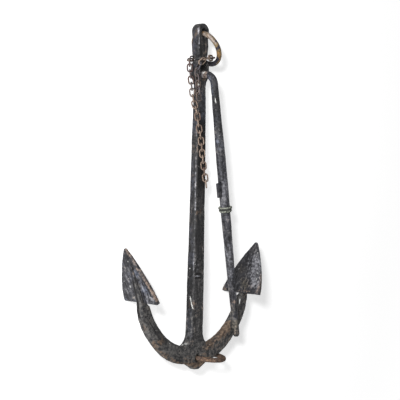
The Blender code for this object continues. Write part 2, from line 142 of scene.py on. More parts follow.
@dataclass(frozen=True)
class AnchorAxes:
    """The anchor's own axes: X to the right arm, Y to the back, Z up the shank from its foot."""

    origin: Array
    turn: Array

    @classmethod
    def from_joints(cls, joints: list[dict]) -> "AnchorAxes":
        """Reads the axes from the head ring's hinge, which lies along the hole through the head."""
        hinge = next(joint for joint in joints if joint["name"] == "head_ring_swing")
        back = -np.array(hinge["axis"], float)
        back /= np.linalg.norm(back)
        right = np.array((1.0, 0.0, 0.0))
        up = np.cross(right, back)
        origin = np.array(hinge["pos_m"], float) / MM - RING_HOLE_HEIGHT * up
        return cls(origin, np.column_stack((right, back, up)))

    def local(self, points: Array) -> Array:
        """Places in the anchor's own axes of places in the row frame."""
        return (points - self.origin) @ self.turn

    def world(self, point: Point | Vector) -> Vector:
        """The place in the row frame, in metres, of a place in the anchor's own axes."""
        return Vector((np.array(point) @ self.turn.T + self.origin) * MM)

    def direction(self, local: Point | Vector) -> Vector:
        """A direction in the row frame, from one in the anchor's own axes."""
        return Vector(self.turn @ np.array(local))


AXES = AnchorAxes.from_joints(frame["joints"])


class Mark(Enum):
    """What shows on the iron, and painted highlight and shade. Each is a float attribute of the
    piece's points, from 0 to 1.
    """

    RUST = "rust"
    # Rubbed bright metal, and a painted highlight along the left front edges of the shank and the
    # head.
    WORN_AND_HIGHLIGHT = "worn"
    LIME = "lime"
    # Scale in a colour of its own; on the head ring its pale coat is also a painted highlight.
    SHEEN = "sheen"
    EARTH = "earth"
    # Soot-dark iron, and painted shade: in hollows, grooves and link insides, in the stock's eye,
    # above the crown's hole, on the shank's front, and along ring and palm edges.
    SOOT_AND_SHADE = "soot_and_shade"


RUST, WORN_AND_HIGHLIGHT, LIME, SHEEN, EARTH, SOOT_AND_SHADE = Mark


@dataclass(frozen=True)
class Site:
    """The points of a surface and the ways that they face."""

    points: Array
    facing: Array


@dataclass(frozen=True)
class Patch:
    """A soft-edged patch of a mark."""

    mark: Mark
    centre: Point
    reach: Point
    strength: float = 1.0

    def amount(self, site: Site) -> Array:
        """How strongly it marks each point."""
        away = (site.points - self.centre) / self.reach
        return self.strength * np.exp(-np.square(away).sum(axis=1))


@dataclass(frozen=True)
class Streak:
    """A scratch, a rub or a drip from one place to another."""

    mark: Mark
    start: Point
    end: Point
    width: float
    strength: float = 1.0

    def amount(self, site: Site) -> Array:
        """How strongly it marks each point."""
        start, run = np.array(self.start), np.subtract(self.end, self.start)
        share = np.clip((site.points - start) @ run / (run @ run), 0, 1)
        away = np.linalg.norm(site.points - start - share[:, None] * run, axis=1)
        return self.strength * np.exp(-np.square(away / self.width))


@dataclass(frozen=True)
class ArmBand:
    """A mark along an arm, between two turns about the arms' common centre and two radii."""

    mark: Mark
    turns: Span
    radii: Span
    strength: float = 1.0
    soft_turn: float = 7.0
    soft_radius: float = 6.0

    def amount(self, site: Site) -> Array:
        """How strongly it marks each point."""
        radius, turn = round_arms(site.points)
        along = within(turn, self.turns, self.soft_turn)
        return self.strength * along * within(radius, self.radii, self.soft_radius)


@dataclass(frozen=True)
class Facing:
    """A mark on what faces one way, between two heights of the anchor."""

    mark: Mark
    way: Point
    heights: Span
    strength: float = 1.0
    least: float = 0.8
    soft_height: float = 30.0

    def amount(self, site: Site) -> Array:
        """How strongly it marks each point."""
        toward = ease(site.facing @ np.array(self.way), self.least, self.least + 0.15)
        return self.strength * toward * within(site.points[:, 2], self.heights, self.soft_height)


Marking = Patch | Streak | ArmBand | Facing


@dataclass(frozen=True)
class Ridge:
    """A low ridge on a surface, or a groove where its height is under 0."""

    start: Point
    end: Point
    width: float
    height: float

    def rise(self, site: Site) -> Array:
        """How far it lifts each point."""
        return self.height * Streak(WORN_AND_HIGHLIGHT, self.start, self.end, self.width).amount(site)


@dataclass(frozen=True)
class StraightGrain:
    """The iron's fibres where they run straight: patterns are stretched along them."""

    way: Point
    stretch: float = 6.0

    def coordinates(self, points: Array) -> Array:
        """Places in which a pattern without direction comes out stretched along the fibres."""
        way = np.array(self.way) / np.linalg.norm(self.way)
        return points - np.outer((points @ way) * (1 - 1 / self.stretch), way)


@dataclass(frozen=True)
class ForgedGrain:
    """The fibres of the whole forging: straight in the shank, and bent round with the arms."""

    stretch: float = 6.0
    arms_below: float = 75.0
    shank_above: float = 125.0
    shank_reach: float = 60.0

    def coordinates(self, points: Array) -> Array:
        """Places in which a pattern without direction comes out stretched along the fibres."""
        radius, turn = round_arms(points)
        along = np.radians(turn) * ARM_RADIUS / self.stretch
        arms = np.column_stack((radius, points[:, 1], along))
        shank = points * np.array((1, 1, 1 / self.stretch))
        near = np.abs(points[:, 0]) < self.shank_reach
        upright = np.where(near, ease(points[:, 2], self.arms_below, self.shank_above), 0)
        return arms + (shank - arms) * upright[:, None]


Grain = StraightGrain | ForgedGrain


def feed(tree: Tree, node: bpy.types.Node, values: dict[str | int, object]) -> None:
    """Sets a node's inputs and properties.

    Args:
        tree: The node's tree.
        node: The node.
        values: A socket or a value by input name or number, or a value by property name.
    """
    for key, value in values.items():
        if isinstance(value, Socket):
            tree.links.new(value, node.inputs[key])
        elif isinstance(key, int) or key in node.inputs:
            node.inputs[key].default_value = value
        else:
            setattr(node, key, value)


def add_node(
    tree: Tree, kind: str, values: dict[str | int, object] | None = None, output: str | int = 0
) -> Socket | None:
    """Adds a shader node.

    Args:
        tree: The tree that it joins.
        kind: The end of the node's type name.
        values: What is fed to it.
        output: Which of its outputs is wanted.

    Returns:
        That output, or nothing if the node has none.
    """
    node = tree.nodes.new(f"ShaderNode{kind}")
    feed(tree, node, values or {})
    return node.outputs[output] if node.outputs else None


def mapped(tree: Tree, value: Socket, low: float, high: float, shape: str = "LINEAR") -> Socket:
    """A value spread from 0 at low to 1 at high."""
    return add_node(tree, "MapRange", {"interpolation_type": shape, 0: value, 1: low, 2: high})


def eased(tree: Tree, value: Socket, low: float, high: float) -> Socket:
    """A value eased from 0 at low to 1 at high."""
    return mapped(tree, value, low, high, "SMOOTHSTEP")


def plus(tree: Tree, value: Socket, times: float, more: Socket | float) -> Socket:
    """A value times a number, plus another value or number."""
    return add_node(tree, "Math", {"operation": "MULTIPLY_ADD", 0: value, 1: times, 2: more})


def blended(tree: Tree, share: Socket, first: Socket | str, second: Socket | str) -> Socket:
    """A mix of two colours, each a socket or a hex value."""
    shades = [colour(shade) if isinstance(shade, str) else shade for shade in (first, second)]
    return add_node(tree, "Mix", {"data_type": "RGBA", 0: share, 6: shades[0], 7: shades[1]}, 2)


@dataclass(frozen=True)
class Coat:
    """One thing that lies on the iron where its mark is strong, in two colours."""

    mark: Mark
    dark: str
    light: str
    roughness: float
    metallic: float = 0.0
    breakup: float = 1.0
    soft: float = 0.16


@dataclass(frozen=True)
class IronFinish:
    """Old wrought iron. Bare, it is black oxide with paler dust on what stands out.

    Its coats lie on it where their marks are. The patches are areas of firm and of lost mill scale,
    the grain is the size of its pits, and the grit is their roughness inside.
    """

    name: str
    dark: str
    light: str
    pale: str
    roughness: float
    coats: tuple[Coat, ...]
    patch_size: float = 26.0
    grain_size: float = 8.0
    grit_size: float = 2.4
    pit_size: float = 8.0
    bump_depth: float = 0.9
    fibre: float = 0.55
    contrast: float = 1.0
    specular: float = 0.22
    dust: Span = (0.20, 0.42)
    noise_weights: Point = (0.9, 1.3, 0.9)

    def build(self) -> bpy.types.Material:
        """Makes the material.

        Returns:
            A material on Object coordinates and on the marks' attributes.
        """
        material = bpy.data.materials.new(self.name)
        material.use_nodes = True
        tree = material.node_tree
        place = add_node(tree, "TexCoord", output="Object")
        noises = []
        for size in (self.patch_size, self.grain_size, self.grit_size):
            values = {"Vector": place, "Scale": 1 / (size * MM), "Detail": 3.0, "Roughness": 0.6}
            noises.append(add_node(tree, "TexNoise", values))
        fibre = add_node(tree, "Attribute", {"attribute_name": FIBRE}, "Fac")
        # The noises and the fibre weighed together, about -0.5 to 0.5.
        weights = (*self.noise_weights, self.fibre)
        breakup: Socket | float = -sum(weights) / 2
        for part, weight in zip((*noises, fibre), weights):
            breakup = plus(tree, part, weight, breakup)
        _, pitted, grit = noises
        reach = 0.32 / self.contrast
        base = blended(tree, eased(tree, breakup, -reach, reach), self.dark, self.light)
        base = blended(tree, eased(tree, breakup, *self.dust), base, self.pale)
        rough = plus(tree, pitted, 0.2, self.roughness - 0.1)
        metal: Socket | float = 0.0
        for coat in self.coats:
            amount = add_node(tree, "Attribute", {"attribute_name": coat.mark.value}, "Fac")
            spread = plus(tree, breakup, coat.breakup, amount)
            cover = eased(tree, spread, 0.5 - coat.soft, 0.5 + coat.soft)
            mottle = mapped(tree, grit if coat.mark is LIME else pitted, 0.38, 0.62)
            base = blended(tree, cover, base, blended(tree, mottle, coat.dark, coat.light))
            rough = add_node(tree, "Mix", {0: cover, 2: rough, 3: coat.roughness})
            metal = add_node(tree, "Mix", {0: cover, 2: metal, 3: coat.metallic})
        pit_scale = 1 / (self.pit_size * MM)
        pits = add_node(tree, "TexVoronoi", {"Vector": place, "Scale": pit_scale}, "Distance")
        height = plus(tree, mapped(tree, pits, 0.05, 0.40), 0.40, pitted)
        height = plus(tree, fibre, 0.35, plus(tree, grit, 0.5, height))
        relief = {"Height": height, "Distance": self.bump_depth * MM, "Strength": 1.0}
        bump = add_node(tree, "Bump", relief)
        look = {"Base Color": base, "Roughness": rough, "Metallic": metal, "Normal": bump}
        feed(tree, tree.nodes["Principled BSDF"], look | {"Specular IOR Level": self.specular})
        return material


# What lies on the iron. Hydrated rust is brown, matt and powdery.
BROWN_RUST = Coat(RUST, "#40362f", "#7a6859", 0.88, breakup=0.9, soft=0.26)
TAN_RUST = Coat(RUST, "#4a403c", "#87776c", 0.88, breakup=0.9, soft=0.26)
EARTHY_RUST = Coat(EARTH, "#33312c", "#67625a", 0.9, breakup=0.9, soft=0.30)
GREY_RUST = Coat(EARTH, "#2c2c2e", "#615f5d", 0.75, breakup=0.9, soft=0.32)
BLUE_SCALE = Coat(SHEEN, "#2f323c", "#636876", 0.45, 0.15, 0.8, 0.30)
DULL_SCALE = Coat(SHEEN, "#212329", "#43454f", 0.45, 0.15, 0.6, 0.30)
# Rubbed bright edges; along the left front edges of the shank and the head also a painted
# highlight.
BRIGHT_EDGE = Coat(WORN_AND_HIGHLIGHT, "#5c5c61", "#929297", 0.5, 0.2, 0.6, 0.28)
GREY_RUB = Coat(WORN_AND_HIGHLIGHT, "#49494d", "#7f7f84", 0.55, 0.1, 0.4, 0.40)
# Near-black soot, and painted shade in hollows, grooves and recesses.
SOOT_AND_SHADE_COAT = Coat(SOOT_AND_SHADE, "#0f0f10", "#1b1a1a", 0.85, breakup=0.4, soft=0.28)
LIMY_CRUST = Coat(LIME, "#9b9b97", "#dededb", 0.92, breakup=0.7)

# Wrought iron under firm black mill scale: near-black, satin where whole, dusty on what stands out.
FORGED_IRON = IronFinish(
    "black_scaled_wrought_iron", "#151516", "#393839", "#5d5c5e", 0.55,
    (DULL_SCALE, GREY_RUST, BROWN_RUST, SOOT_AND_SHADE_COAT, BRIGHT_EDGE, LIMY_CRUST),
    patch_size=30, grain_size=10, contrast=0.95,
)
# Forged plate: the scale is bluer, and greyer where it is scuffed.
PALM_IRON = IronFinish(
    "black_scaled_iron_plate", "#151518", "#434348", "#858587", 0.52,
    (BLUE_SCALE, EARTHY_RUST, TAN_RUST, SOOT_AND_SHADE_COAT, BRIGHT_EDGE, LIMY_CRUST),
    patch_size=30, fibre=0.40,
)
# Round bar, smoother than the forging, in finer patches of the same scale.
STOCK_IRON = IronFinish(
    "black_scaled_round_bar", "#131315", "#3f3f45", "#727177", 0.5,
    (BLUE_SCALE, EARTHY_RUST, TAN_RUST, SOOT_AND_SHADE_COAT, GREY_RUB, LIMY_CRUST),
    patch_size=18, fibre=0.40, contrast=0.85,
)
# Bar worn to a tan patina of old varnish-brown rust, with black scale left in patches. The pale
# coat also serves as a painted highlight, and the near-black coat as painted shade.
HEAD_RING_COATS = (
    Coat(SHEEN, "#6a605a", "#9c9088", 0.5, breakup=0.6, soft=0.25),
    Coat(RUST, "#4a3524", "#8a6842", 0.6, breakup=0.8),
    Coat(SOOT_AND_SHADE, "#16141a", "#2f2c35", 0.55, breakup=0.6, soft=0.14),
    LIMY_CRUST,
)
HEAD_RING_IRON = IronFinish(
    "tan_patinated_round_bar", "#493d29", "#7c694c", "#98866a", 0.5, HEAD_RING_COATS, 14, 5
)
# Bar rusted all over: brown, matt and coarse.
CROWN_RING_COATS = (
    Coat(RUST, "#46362d", "#7a6250", 0.9, breakup=0.8), SOOT_AND_SHADE_COAT, BRIGHT_EDGE, LIMY_CRUST,
)
CROWN_RING_IRON = IronFinish(
    "brown_rusted_round_bar", "#352c28", "#6b594d", "#8d7866", 0.85, CROWN_RING_COATS, 14, 5
)
# Light chain of drawn wire: tan-brown rust on the open sides, and near-black painted shade inside.
CHAIN_COATS = (
    Coat(SHEEN, "#1f1f22", "#5d5c62", 0.6, breakup=0.8),
    Coat(RUST, "#332322", "#5e4641", 0.88, breakup=0.9),
    Coat(SOOT_AND_SHADE, "#120f0e", "#241d1a", 0.9, breakup=0.4, soft=0.2),
    LIMY_CRUST,
)
CHAIN_IRON = IronFinish(
    "tan_rusted_wire", "#463b34", "#9a887a", "#cbbca8", 0.82, CHAIN_COATS, 9, 3, 0.9, 2, 0.3
)
# Collar under a thin grey-green limy crust, with dark iron showing where it has flaked, and painted
# shade in its groove.
COLLAR_COATS = (
    Coat(RUST, "#3b352c", "#5d5444", 0.9), SOOT_AND_SHADE_COAT, Coat(LIME, "#73766b", "#aaada1", 0.9),
)
COLLAR_IRON = IronFinish(
    "limed_collar_iron_crust", "#2c2d2a", "#5f625b", "#83877e", 0.85, COLLAR_COATS,
    9, 3, 1, 2.5, 0.4,
)
# Barnacle scars: the white calcite plates that stay on the iron when the shell has gone.
SCAR_LIME = IronFinish(
    "barnacle_calcite", "#8c8c8c", "#c9c9c9", "#dfdfe1", 0.9, (), 6, 2, 0.7, 1.5, 0.3
)


@dataclass(frozen=True)
class Wear:
    """How far a surface has gone from its new shape, and how much of each mark it has.

    The crust is the layer of scale and rust that lifts the whole surface. An edge or a hollow
    starts to count at its span's first height and counts fully at the second. The last five are
    the sizes of the patches that each pattern comes in.
    """

    crust: float = 0.0
    swell: float = 0.5
    swell_size: float = 55.0
    hammer: float = 0.45
    hammer_size: float = 17.0
    scale_step: float = 0.25
    scale_size: float = 20.0
    pitting: float = 0.6
    pit_size: float = 9.0
    fibre: float = 0.35
    fibre_size: float = 7.0
    rust: float = -0.05
    rust_patches: float = 0.35
    rust_edges: float = 0.1
    worn_edges: float = 0.26
    sheen: float = 0.15
    earth: float = 0.10
    seed: int = 0
    edge_bulge: Span = (0.10, 0.45)
    hollow_depth: Span = (0.04, 0.30)
    pit_fields: float = 45.0
    edge_chips: float = 12.0
    rust_size: float = 90.0
    rub_size: float = 60.0
    earth_size: float = 70.0


class Skin:
    """The points of one piece's mesh, in the row frame, and what its wear is worked out from."""

    def __init__(self, mesh: Mesh) -> None:
        """Reads the mesh.

        Args:
            mesh: A closed mesh with small even faces, in metres, in the row frame.
        """
        self.mesh = mesh
        self.points = read(mesh.vertices, "co").astype(float) / MM
        self.ends = read(mesh.edges, "vertices", 2, np.int32)
        counts = np.bincount(self.ends.ravel(), minlength=len(self.points))
        self.valence = np.maximum(counts, 1).astype(float)

    def site(self) -> Site:
        """The points and the ways that they face, in the anchor's own axes."""
        return Site(AXES.local(self.points), self.normals() @ AXES.turn)

    def smoothed(self, values: Array, rounds: int) -> Array:
        """Spreads one value a point over its neighbours a number of times."""
        first, second = self.ends.T
        for _ in range(rounds):
            total = np.bincount(first, values[second], len(values))
            total += np.bincount(second, values[first], len(values))
            values = (values + total / self.valence) / 2
        return values

    def smoothed_points(self, rounds: int) -> Array:
        """The points of the smoothed shape."""
        return np.column_stack([self.smoothed(self.points[:, axis], rounds) for axis in range(3)])

    def move(self, points: Array) -> None:
        """Moves the points, in the mesh too."""
        self.points = points
        self.mesh.vertices.foreach_set("co", (points * MM).astype(np.float32).ravel())
        self.mesh.update()

    def normals(self) -> Array:
        """The outward normals at the points."""
        return read(self.mesh.vertex_normals, "vector").astype(float)

    def bulge(self, rounds: int) -> Array:
        """How far each point stands out of its surroundings: above 0 on edges."""
        return ((self.points - self.smoothed_points(rounds)) * self.normals()).sum(axis=1)

    def push(self, amount: Array) -> None:
        """Moves each point out along its normal by an amount."""
        self.move(self.points + self.normals() * amount[:, None])

    def hold(self, name: str, values: Array) -> None:
        """Stores values as an attribute of the mesh, kept from 0 to 1."""
        held = self.mesh.attributes.new(name, "FLOAT", "POINT")
        held.data.foreach_set("value", np.clip(values, 0, 1).astype(np.float32))


def weather(
    skin: Skin,
    wear: Wear,
    markings: Sequence[Marking] = (),
    calm: Sequence[Patch] = (),
    ridges: Sequence[Ridge] = (),
    fibres: Grain | None = None,
    extra: dict[Mark, Array] | None = None,
) -> None:
    """Wears a skin's shape and sets its marks.

    Args:
        skin: The skin, relaxed to its new shape.
        wear: How much of everything.
        markings: The marks at places of their own.
        calm: Places where the shape stays as it is, such as a bearing.
        ridges: Ridges and grooves at places of their own.
        fibres: Which way the iron's fibres run, if they show.
        extra: Marks worked out point by point, added to the others.
    """
    points, seed, site = skin.points, wear.seed, skin.site()
    edges = ease(skin.smoothed(skin.bulge(5), 1), *wear.edge_bulge)
    lost = ease(grain(points, wear.scale_size, 4, seed + 1), -0.04, 0.10)
    dents = cells(points, wear.hammer_size, seed + 2)
    pitted = ease(grain(points, wear.pit_fields, 3, seed + 4), -0.3, 0.2)
    pits = ease(0.42 - cells(points, wear.pit_size, seed + 3), 0.0, 0.3) * pitted
    fibre = np.zeros(len(points))
    if fibres:
        fibre = grain(fibres.coordinates(site.points), wear.fibre_size, 3, seed + 9)
    change = wear.crust + wear.swell * grain(points, wear.swell_size, 2, seed) + wear.fibre * fibre
    change += wear.hammer * (dents - 0.6) - wear.scale_step * lost - wear.pitting * pits
    chips = ease(grain(points, wear.edge_chips, 2, seed + 5), -0.2, 0.4)
    change -= 0.5 * wear.pitting * edges * chips
    for ridge in ridges:
        change += ridge.rise(site)
    for place in calm:
        change *= 1 - np.clip(place.amount(site), 0, 1)
    skin.push(change)
    reds = grain(points, wear.rust_size, 3, seed + 6)
    rubs = grain(points, wear.rub_size, 3, seed + 7)
    earths = grain(points, wear.earth_size, 3, seed + 8)
    hollows = ease(-skin.bulge(4), *wear.hollow_depth)
    marks = {
        RUST: wear.rust + wear.rust_patches * reds + 0.10 * lost + wear.rust_edges * edges,
        WORN_AND_HIGHLIGHT: wear.worn_edges * edges * (0.75 + 0.8 * rubs),
        LIME: np.zeros(len(points)),
        SHEEN: wear.sheen + 0.35 * rubs - 0.15 * lost,
        EARTH: wear.earth + 0.35 * earths + 0.1 * hollows,
        # Painted shade: hollows are darkened, and pits darker too.
        SOOT_AND_SHADE: 0.75 * hollows + 0.35 * pits,
    }
    for marking in markings:
        marks[marking.mark] += marking.amount(site)
    for mark, values in (extra or {}).items():
        marks[mark] += values
    for mark, values in marks.items():
        skin.hold(mark.value, values)
    skin.hold(FIBRE, 0.5 + fibre)


def mesh_of(draft: Draft, name: str) -> Mesh:
    """Turns a draft into a mesh."""
    mesh = bpy.data.meshes.new(name)
    draft.to_mesh(mesh)
    draft.free()
    return mesh


def sealed(draft: Draft, name: str, weld: float = 0.01) -> Mesh:
    """Makes a mesh of a closed draft.

    Args:
        draft: The draft, in millimetres.
        name: The mesh's name.
        weld: How close points are joined.

    Returns:
        The mesh, in metres, with its faces outward.
    """
    bmesh.ops.remove_doubles(draft, verts=draft.verts[:], dist=weld)
    bmesh.ops.recalc_face_normals(draft, faces=draft.faces[:])
    mesh = mesh_of(draft, name)
    mesh.transform(Matrix.Scale(MM, 4))
    return mesh


def spun(draft: Draft, name: str, steps: int) -> Mesh:
    """Spins an outline once round the Y axis and makes a mesh of it."""
    bmesh.ops.spin(
        draft, geom=draft.verts[:] + draft.edges[:], cent=(0, 0, 0), axis=(0, 1, 0),
        angle=2 * math.pi, steps=steps, use_merge=True,
    )
    return sealed(draft, name)


def new_piece(name: str, mesh: Mesh) -> Piece:
    """Puts a mesh in the scene as a piece at the origin."""
    piece = bpy.data.objects.new(name, mesh)
    bpy.context.scene.collection.objects.link(piece)
    return piece


def evenly_remeshed(node: str, name: str, voxel: float) -> Mesh:
    """Copies a solid and gives it small even faces.

    Args:
        node: The CAD node.
        name: The new mesh's name.
        voxel: The size of its faces.

    Returns:
        The new mesh, in metres, in the row frame.
    """
    draft = bmesh.new()
    draft.from_mesh(frame["nodes"][node].data)
    bmesh.ops.remove_doubles(draft, verts=draft.verts[:], dist=0.01 * MM)
    rough = new_piece(f"{name}_rough", mesh_of(draft, f"{name}_rough"))
    remesh = rough.modifiers.new("even faces", "REMESH")
    remesh.mode = "VOXEL"
    remesh.voxel_size = voxel * MM
    remesh.adaptivity = 0
    graph = bpy.context.evaluated_depsgraph_get()
    made = bpy.data.meshes.new_from_object(rough.evaluated_get(graph))
    made.name = name
    bpy.data.objects.remove(rough)
    return made


def finish_piece(
    piece: Piece, material: bpy.types.Material, body: str, slot: str, *nodes: str
) -> Piece:
    """Dresses a piece, sets it on its body and hides the CAD nodes that it replaces.

    Args:
        piece: The piece, at the origin.
        material: Its finish.
        body: The CAD body that it rides on.
        slot: The record's material slot. Not used.
        nodes: The CAD nodes that it replaces.

    Returns:
        The same piece.
    """
    piece.data.materials.clear()
    piece.data.materials.append(material)
    piece.data.shade_smooth()
    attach(piece, body)
    if nodes:
        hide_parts(*nodes)
    LOG.info("%s: %d faces on %s", piece.name, len(piece.data.polygons), body)
    return piece


@dataclass
class WornCopy:
    """A piece that is its solid, remeshed and worn."""

    node: str
    name: str
    body: str
    slot: str
    finish: IronFinish
    voxel: float
    relax: int
    wear: Wear
    markings: Sequence[Marking] = ()
    calm: Sequence[Patch] = ()
    ridges: Sequence[Ridge] = ()
    fibres: Grain | None = None

    def make(self) -> Piece:
        """Builds the piece."""
        skin = Skin(evenly_remeshed(self.node, self.name, self.voxel))
        skin.move(skin.smoothed_points(self.relax))
        weather(skin, self.wear, self.markings, self.calm, self.ridges, self.fibres)
        piece = new_piece(self.name, skin.mesh)
        return finish_piece(piece, self.finish.build(), self.body, self.slot, self.node)


# Marks of the shank, the head and the crown, from the top down.
SHANK_MARKS = (
    # The sides are bluish where the scale is whole, and a little darker. The front is painted
    # darker as shade, most of all at the head, and bluish below the eye.
    Facing(SHEEN, (-1, 0, 0), (140, 1130), 0.32),
    Facing(SOOT_AND_SHADE, (-1, 0, 0), (200, 1130), 0.34),
    Facing(SOOT_AND_SHADE, (0, -1, 0), (330, 800), 0.42),
    Facing(SOOT_AND_SHADE, (0, -1, 0), (210, 330), 0.08),
    Facing(SHEEN, (0, -1, 0), (800, 940), 0.36),
    Facing(SOOT_AND_SHADE, (-1, 0, 0), (200, 330), 0.12),
    Facing(SOOT_AND_SHADE, (0, -1, 0), (600, 800), 0.2),
    Facing(SOOT_AND_SHADE, (0, -1, 0), (1066, 1140), 0.3),
    Facing(SHEEN, (-1, 0, 0), (1000, 1060), 0.15),
    # Painted highlights along the head's left front edge, drawn as bright rubbed metal.
    Streak(WORN_AND_HIGHLIGHT, (-27, -15, 1110), (-28, -15.4, 1079.9), 2.8, 0.8),
    Streak(WORN_AND_HIGHLIGHT, (-23.6, -15.5, 1071.9), (-24.5, -16.5, 1029.9), 2.8, 0.65),
    # Inside of the stock's eye: painted shade in the hollow, and rust.
    Patch(SOOT_AND_SHADE, (6, -2, 988), (17, 20, 12), 1.2),
    Patch(EARTH, (6, -16, 955), (20, 20, 22), 0.35),
    Patch(RUST, (3, -16, 944), (14, 10, 8), 0.75),
    # Pale flecks beside the eye, and rust run down from the chain on the upper left edge.
    Streak(LIME, (-16.5, -12.5, 935), (-17.7, -12.6, 879.9), 2.4, 0.62),
    Streak(RUST, (-22, -6, 930), (-23, -7.4, 799.9), 8, 0.4),
    Streak(RUST, (7.9, -16, 615), (9.9, -16, 570), 10, 0.25),
    # The rubbed left front edge, with a painted highlight along its chamfer.
    Streak(WORN_AND_HIGHLIGHT, (-20.2, -10.1, 799.9), (-20.9, -10.8, 640), 2, 0.35),
    Streak(WORN_AND_HIGHLIGHT, (-20.9, -10.8, 640), (-21.5, -12.9, 520.1), 2, 0.6),
    Streak(WORN_AND_HIGHLIGHT, (-21.5, -12.9, 520.1), (-23.7, -13.1, 360.2), 1.8, 0.42),
    Streak(WORN_AND_HIGHLIGHT, (-23.7, -13.1, 360.2), (-24.7, -13.6, 280.3), 1.8, 0.35),
    Patch(RUST, (-8.1, -17, 514.1), (18, 12, 14), 0.62),
    Patch(EARTH, (-2.1, -17, 505.1), (30, 15, 45), 0.34),
    # Scattered pale rubs over the forging lap, and painted shade in its two grooves.
    Patch(WORN_AND_HIGHLIGHT, (-14.1, -18, 338.2), (12, 6, 24), 0.36),
    Patch(EARTH, (-6.1, -18, 340.2), (20, 10, 35), 0.35),
    Streak(WORN_AND_HIGHLIGHT, (-17.1, -17.5, 304.8), (-0.1, -17.5, 304.3), 2.2, 1.15),
    Streak(SOOT_AND_SHADE, (-18.1, -17.5, 298.8), (7.9, -17.5, 298.3), 3, 1),
    Streak(SOOT_AND_SHADE, (-16.1, -17.5, 311.3), (3.9, -17.5, 311.3), 2.4, 0.8),
    # The long pale scratch and a dot above it.
    Streak(LIME, (-25.9, -4.6, 236.9), (-24.3, -14.5, 200.4), 2, 1.25),
    Streak(WORN_AND_HIGHLIGHT, (-26, -1.1, 240.4), (-24.8, -12.1, 205.4), 4, 0.35),
    # Bluish scale over the left root of the shank, and the cream patch in its fillet, which is limy
    # crust and also a painted highlight on the fillet's edge.
    Patch(EARTH, (0, -16, 150), (40, 30, 55), 0.36),
    Patch(SHEEN, (-29.5, -7.5, 125.3), (14, 20, 45), 0.15),
    Streak(LIME, (-28.9, -11.8, 140.4), (-28.9, -12.3, 118.3), 2.2, 0.55),
    Patch(LIME, (-48.4, 6, 81.2), (10, 14, 5), 0.48),
    Patch(LIME, (-42, -3, 86), (10, 10, 5), 0.42),
    Patch(SHEEN, (0, -16, 60), (30, 10, 20), 0.22),
)
# Marks of the two arms and of the crown's point.
ARM_MARKS = (
    Patch(RUST, (16, -15.5, 30), (11, 10, 10), 0.85),
    Patch(RUST, (26, -14, 20), (16, 14, 8), 0.7),
    Patch(RUST, (-16, -16, 16), (35, 14, 8), 0.42),
    # Painted shadow above the crown's ring hole.
    Patch(SOOT_AND_SHADE, (3, -16, 48), (10, 6, 8), 0.75),
    ArmBand(RUST, (-50, 2), (259, 272), 0.44),
    # Grey-brown rust has taken most of the scale off the arms and the crown.
    ArmBand(EARTH, (-90, 90), (195, 290), 0.66),
    Patch(RUST, (-166, -16, 108), (16, 14, 14), 0.62),
    Patch(SHEEN, (-50, -16, 58), (20, 10, 12), 0.35),
    ArmBand(SOOT_AND_SHADE, (-62, -40), (215, 238), 0.22),
    # The right arm is browner, with a rubbed orange-brown inner edge.
    ArmBand(RUST, (8, 78), (200, 272), 0.2),
    ArmBand(RUST, (16, 46), (203, 218), 0.46),
    ArmBand(SOOT_AND_SHADE, (14, 90), (200, 290), 0.18),
    ArmBand(SOOT_AND_SHADE, (-90, -8), (200, 290), 0.26),
    Streak(WORN_AND_HIGHLIGHT, (62.3, -12, 79), (57.2, -16, 43), 4, 0.32),
    Streak(LIME, (212.5, -10.2, 212.5), (205, -14, 196.5), 2.8, 1.2),
    Patch(RUST, (216, -15, 198), (6, 6, 14), 0.55),
)
# The lap on the shank, and the fibrous ridges where the left arm thins out on its palm.
FORGING_RIDGES = (
    Ridge((-24.2, -17.1, 298.8), (9.9, -17.5, 298.3), 3, -1.2),
    Ridge((-22.2, -17.1, 311.8), (5.9, -17.5, 311.3), 2.5, -0.8),
    Ridge((-20.1, -17, 304.8), (1.9, -17.5, 304.8), 2.6, 0.5),
    Ridge((-25.9, -4.6, 236.9), (-24.3, -14.5, 200.4), 2.2, -0.5),
    Ridge((-276.8, -7.7, 312.2), (-248.1, -11.2, 235), 1.6, -0.9),
    Ridge((-277.3, -0.5, 305.5), (-252.4, 2.6, 235.1), 1.8, -0.9),
    Ridge((-271.2, -11.3, 292.2), (-238, -12, 205), 1.6, -0.8),
    Ridge((-245, 2, 220), (-215, 2, 160), 2, -0.7),
    Ridge((-230, -15, 190), (-190, -15, 140), 1.8, -0.7),
)
